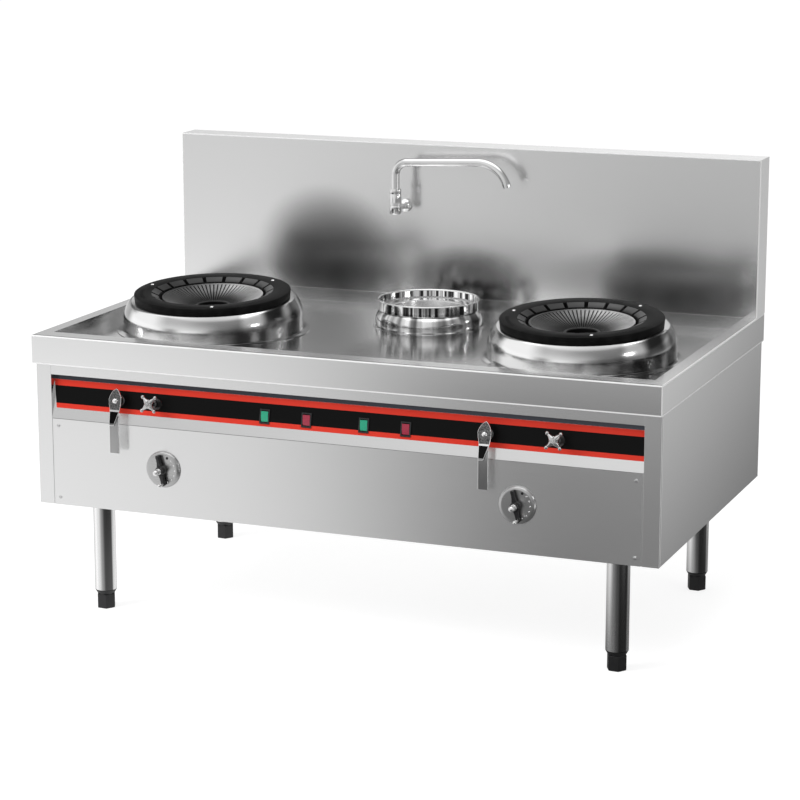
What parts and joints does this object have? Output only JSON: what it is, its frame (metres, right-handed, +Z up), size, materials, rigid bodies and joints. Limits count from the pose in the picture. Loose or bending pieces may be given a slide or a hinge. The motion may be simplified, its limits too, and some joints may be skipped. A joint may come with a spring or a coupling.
{
  "type": "wok range",
  "caption": "Free-standing gas wok range with blown wok burners, a pot well, a swing faucet on a tall splashback, knee levers, dials and levelling legs.",
  "frame": {"origin": "on the floor under the middle of the worktop", "axes": "+Z up, -Y towards the cook, +X to the cook's right"},
  "size_m": [1.8, 1.1276, 1.25],
  "materials": {
    "steel": "brushed stainless sheet, low gloss",
    "polished": "spun and polished stainless",
    "chrome": "bright plated",
    "iron": "black cast iron, satin",
    "grate": "dark grey cast iron, ribs worn bright",
    "lining": "dark steel drum with refractory",
    "label": "printed film, red edges and black middle",
    "red": "gloss",
    "green": "gloss",
    "black": "black, satin",
    "frame": "grey primer",
    "legs": "satin chrome tube",
    "dial": "spun aluminium",
    "gas": "brass",
    "blower": "dark painted sheet",
    "impeller": "plain"
  },
  "bodies": {
    "range": {"worktop_tray": "steel", "splashback": "steel", "splash_rear_cover": "steel", "side_panel_left": "steel", "side_panel_right": "steel", "back_panel": "steel", "bottom_panel": "steel", "front_posts": "steel", "top_rail": "steel", "control_panel": "steel", "control_label": "label", "lower_panel": "steel", "panel_screws": "chrome", "subframe": "frame", "pot_ring": "polished", "pot_well": "steel", "faucet_body": "chrome", "tray_drain": "steel", "air_valves": "chrome", "pilot_valves": "chrome", "switch_housings": "black", "gas_valves": "gas", "gas_manifold": "frame", "burner_collar_left": "polished", "furnace_drum_left": "lining", "burner_head_left": "iron", "dial_plate_left": "dial", "blower_left": "blower", "burner_collar_right": "polished", "furnace_drum_right": "lining", "burner_head_right": "iron", "dial_plate_right": "dial", "blower_right": "blower", "leg_front_left": "legs", "leg_front_right": "legs", "leg_rear_left": "legs", "leg_rear_right": "legs"},
    "spout": {"faucet_spout": "chrome"},
    "knee_lever_left": {"knee_lever_left": "chrome"},
    "knee_lever_right": {"knee_lever_right": "chrome"},
    "cross_handle_left": {"cross_handle_left": "chrome"},
    "cross_handle_right": {"cross_handle_right": "chrome"},
    "dial_left": {"dial_handle_left": "black", "dial_spindle_left": "chrome"},
    "dial_right": {"dial_handle_right": "black", "dial_spindle_right": "chrome"},
    "rocker_green_left": {"rocker_green_left": "green"},
    "rocker_red_left": {"rocker_red_left": "red"},
    "rocker_green_right": {"rocker_green_right": "green"},
    "rocker_red_right": {"rocker_red_right": "red"},
    "wok_ring_left": {"wok_ring_left": "iron"},
    "finned_cone_left": {"finned_cone_left": "grate"},
    "wok_ring_right": {"wok_ring_right": "iron"},
    "finned_cone_right": {"finned_cone_right": "grate"},
    "impeller_left": {"impeller_left": "impeller"},
    "impeller_right": {"impeller_right": "impeller"},
    "foot_front_left": {"foot_front_left": "black"},
    "foot_front_right": {"foot_front_right": "black"},
    "foot_rear_left": {"foot_rear_left": "black"},
    "foot_rear_right": {"foot_rear_right": "black"}
  },
  "joints": [
    {"name": "spout_swing", "type": "hinge", "parent": "range", "child": "spout", "pos_m": [-0.168, 0.3535, 1.12], "axis": [0, 0, 1], "range_deg": [-188, 8]},
    {"name": "knee_lever_left_swing", "type": "hinge", "parent": "range", "child": "knee_lever_left", "pos_m": [-0.643, -0.49435, 0.62874], "axis": [0, -0.9803, 0.1977], "range_deg": [-60, 0]},
    {"name": "knee_lever_right_swing", "type": "hinge", "parent": "range", "child": "knee_lever_right", "pos_m": [0.428, -0.49435, 0.62874], "axis": [0, -0.9803, 0.1977], "range_deg": [-60, 0]},
    {"name": "cross_handle_left_turn", "type": "hinge", "parent": "range", "child": "cross_handle_left", "pos_m": [-0.532, -0.49435, 0.62874], "axis": [0, -0.9803, 0.1977], "range_deg": [0, 360]},
    {"name": "cross_handle_right_turn", "type": "hinge", "parent": "range", "child": "cross_handle_right", "pos_m": [0.621, -0.49435, 0.62874], "axis": [0, -0.9803, 0.1977], "range_deg": [0, 360]},
    {"name": "dial_left_turn", "type": "hinge", "parent": "range", "child": "dial_left", "pos_m": [-0.508, -0.507, 0.451], "axis": [0, -1, 0], "range_deg": [-150, 0]},
    {"name": "dial_right_turn", "type": "hinge", "parent": "range", "child": "dial_right", "pos_m": [0.514, -0.507, 0.451], "axis": [0, -1, 0], "range_deg": [-150, 0]},
    {"name": "rocker_green_left_tip", "type": "hinge", "parent": "range", "child": "rocker_green_left", "pos_m": [-0.207, -0.4926, 0.62124], "axis": [1, 0, 0], "range_deg": [-11, 0]},
    {"name": "rocker_red_left_tip", "type": "hinge", "parent": "range", "child": "rocker_red_left", "pos_m": [-0.085, -0.4926, 0.62124], "axis": [1, 0, 0], "range_deg": [-11, 0]},
    {"name": "rocker_green_right_tip", "type": "hinge", "parent": "range", "child": "rocker_green_right", "pos_m": [0.08, -0.4926, 0.62124], "axis": [1, 0, 0], "range_deg": [-11, 0]},
    {"name": "rocker_red_right_tip", "type": "hinge", "parent": "range", "child": "rocker_red_right", "pos_m": [0.199, -0.4926, 0.62124], "axis": [1, 0, 0], "range_deg": [-11, 0]},
    {"name": "wok_ring_left_lift", "type": "slide", "parent": "range", "child": "wok_ring_left", "axis": [0, -0.0576, 0.9983], "range_m": [0, 0.15]},
    {"name": "finned_cone_left_lift", "type": "slide", "parent": "range", "child": "finned_cone_left", "axis": [0, -0.0576, 0.9983], "range_m": [0, 0.15]},
    {"name": "wok_ring_right_lift", "type": "slide", "parent": "range", "child": "wok_ring_right", "axis": [0, -0.0576, 0.9983], "range_m": [0, 0.15]},
    {"name": "finned_cone_right_lift", "type": "slide", "parent": "range", "child": "finned_cone_right", "axis": [0, -0.0576, 0.9983], "range_m": [0, 0.15]},
    {"name": "impeller_left_spin", "type": "hinge", "parent": "range", "child": "impeller_left", "pos_m": [-0.55, 0.26, 0.44], "axis": [1, 0, 0], "continuous": true},
    {"name": "impeller_right_spin", "type": "hinge", "parent": "range", "child": "impeller_right", "pos_m": [0.55, 0.26, 0.44], "axis": [1, 0, 0], "continuous": true},
    {"name": "foot_front_left_screw", "type": "hinge", "parent": "range", "child": "foot_front_left", "pos_m": [-0.755, -0.395, 0.06], "axis": [0, 0, 1], "continuous": true},
    {"name": "foot_front_right_screw", "type": "hinge", "parent": "range", "child": "foot_front_right", "pos_m": [0.755, -0.395, 0.06], "axis": [0, 0, 1], "continuous": true},
    {"name": "foot_rear_left_screw", "type": "hinge", "parent": "range", "child": "foot_rear_left", "pos_m": [-0.755, 0.395, 0.06], "axis": [0, 0, 1], "continuous": true},
    {"name": "foot_rear_right_screw", "type": "hinge", "parent": "range", "child": "foot_rear_right", "pos_m": [0.755, 0.395, 0.06], "axis": [0, 0, 1], "continuous": true}
  ]
}
